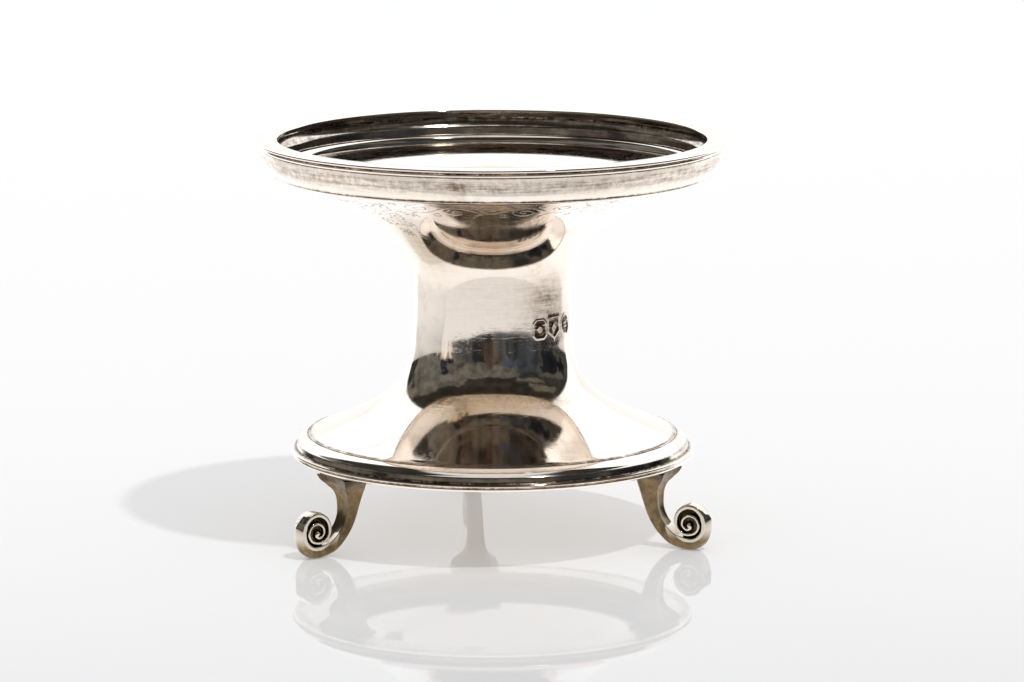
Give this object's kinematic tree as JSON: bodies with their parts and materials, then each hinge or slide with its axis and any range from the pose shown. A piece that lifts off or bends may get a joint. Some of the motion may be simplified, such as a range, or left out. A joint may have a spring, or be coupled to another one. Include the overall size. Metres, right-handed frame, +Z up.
{
  "type": "sugar bowl",
  "caption": "Spool-shaped silver sugar bowl: wide trumpet bowl with a moulded rim, narrow waist and a moulded trumpet base on cast scroll feet.",
  "frame": {"origin": "on the surface that the feet stand on, under the middle of the bowl", "axes": "+Z up through the bowl's mouth, +Y towards the back foot, +X to the right"},
  "size_m": [0.08, 0.08, 0.068],
  "materials": {
    "bright_silver": "polished sterling silver with fine scratches and a little tarnish",
    "dull_silver": "unpolished silver with turning marks",
    "tarnished_silver": "cast silver with golden-brown tarnish, bright on the ridges"
  },
  "bodies": {
    "root": {"rim_lip": "bright_silver", "rim_bead": "bright_silver", "rim_band": "bright_silver", "upper_bowl": "bright_silver", "bowl_pan": "dull_silver", "base_flare": "bright_silver", "base_moulding": "bright_silver", "base_bead": "bright_silver", "foot_seat": "dull_silver", "foot_plate_left": "tarnished_silver", "scroll_foot_left": "tarnished_silver", "foot_plate_right": "tarnished_silver", "scroll_foot_right": "tarnished_silver", "foot_plate_back": "tarnished_silver", "scroll_foot_back": "tarnished_silver"}
  },
  "joints": []
}
